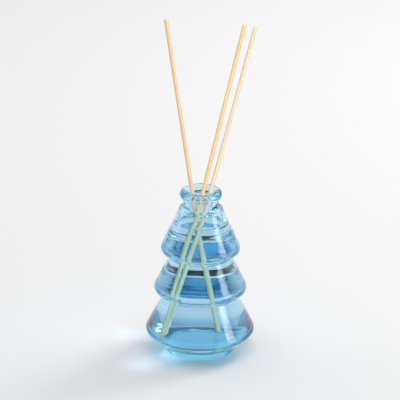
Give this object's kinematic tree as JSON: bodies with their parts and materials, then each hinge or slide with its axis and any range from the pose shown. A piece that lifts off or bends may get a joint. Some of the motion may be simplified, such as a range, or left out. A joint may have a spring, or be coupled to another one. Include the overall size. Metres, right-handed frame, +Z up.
{
  "type": "reed diffuser",
  "caption": "Reed diffuser: a clear blue glass bottle in the shape of a tiered tree, filled with fragrance oil, with plain rattan reeds that lift out of its open mouth.",
  "frame": {"origin": "centre of the ring that the bottle stands on, at table level", "axes": "+Z up along the bottle's axis; +X to the right and -Y towards the viewer as the reeds are named"},
  "size_m": [0.0816, 0.0816, 0.2558],
  "materials": {
    "bottle_glass": "clear moulded glass, pale blue, glossy",
    "fragrance_oil": "clear liquid",
    "reed_rattan": "raw rattan cane, matt"
  },
  "bodies": {
    "bottle": {"bottle": "bottle_glass", "fragrance_oil": "fragrance_oil"},
    "reed_left": {"reed_left": "reed_rattan"},
    "reed_middle": {"reed_middle": "reed_rattan"},
    "reed_right": {"reed_right": "reed_rattan"}
  },
  "joints": [
    {"name": "reed_left_lift", "type": "slide", "parent": "bottle", "child": "reed_left", "axis": [-0.149, 0.0404, 0.988], "range_m": [0, 0.13]},
    {"name": "reed_middle_lift", "type": "slide", "parent": "bottle", "child": "reed_middle", "axis": [0.2264, 0.1044, 0.9684], "range_m": [0, 0.13]},
    {"name": "reed_right_lift", "type": "slide", "parent": "bottle", "child": "reed_right", "axis": [0.2461, 0.0829, 0.9657], "range_m": [0, 0.13]}
  ]
}
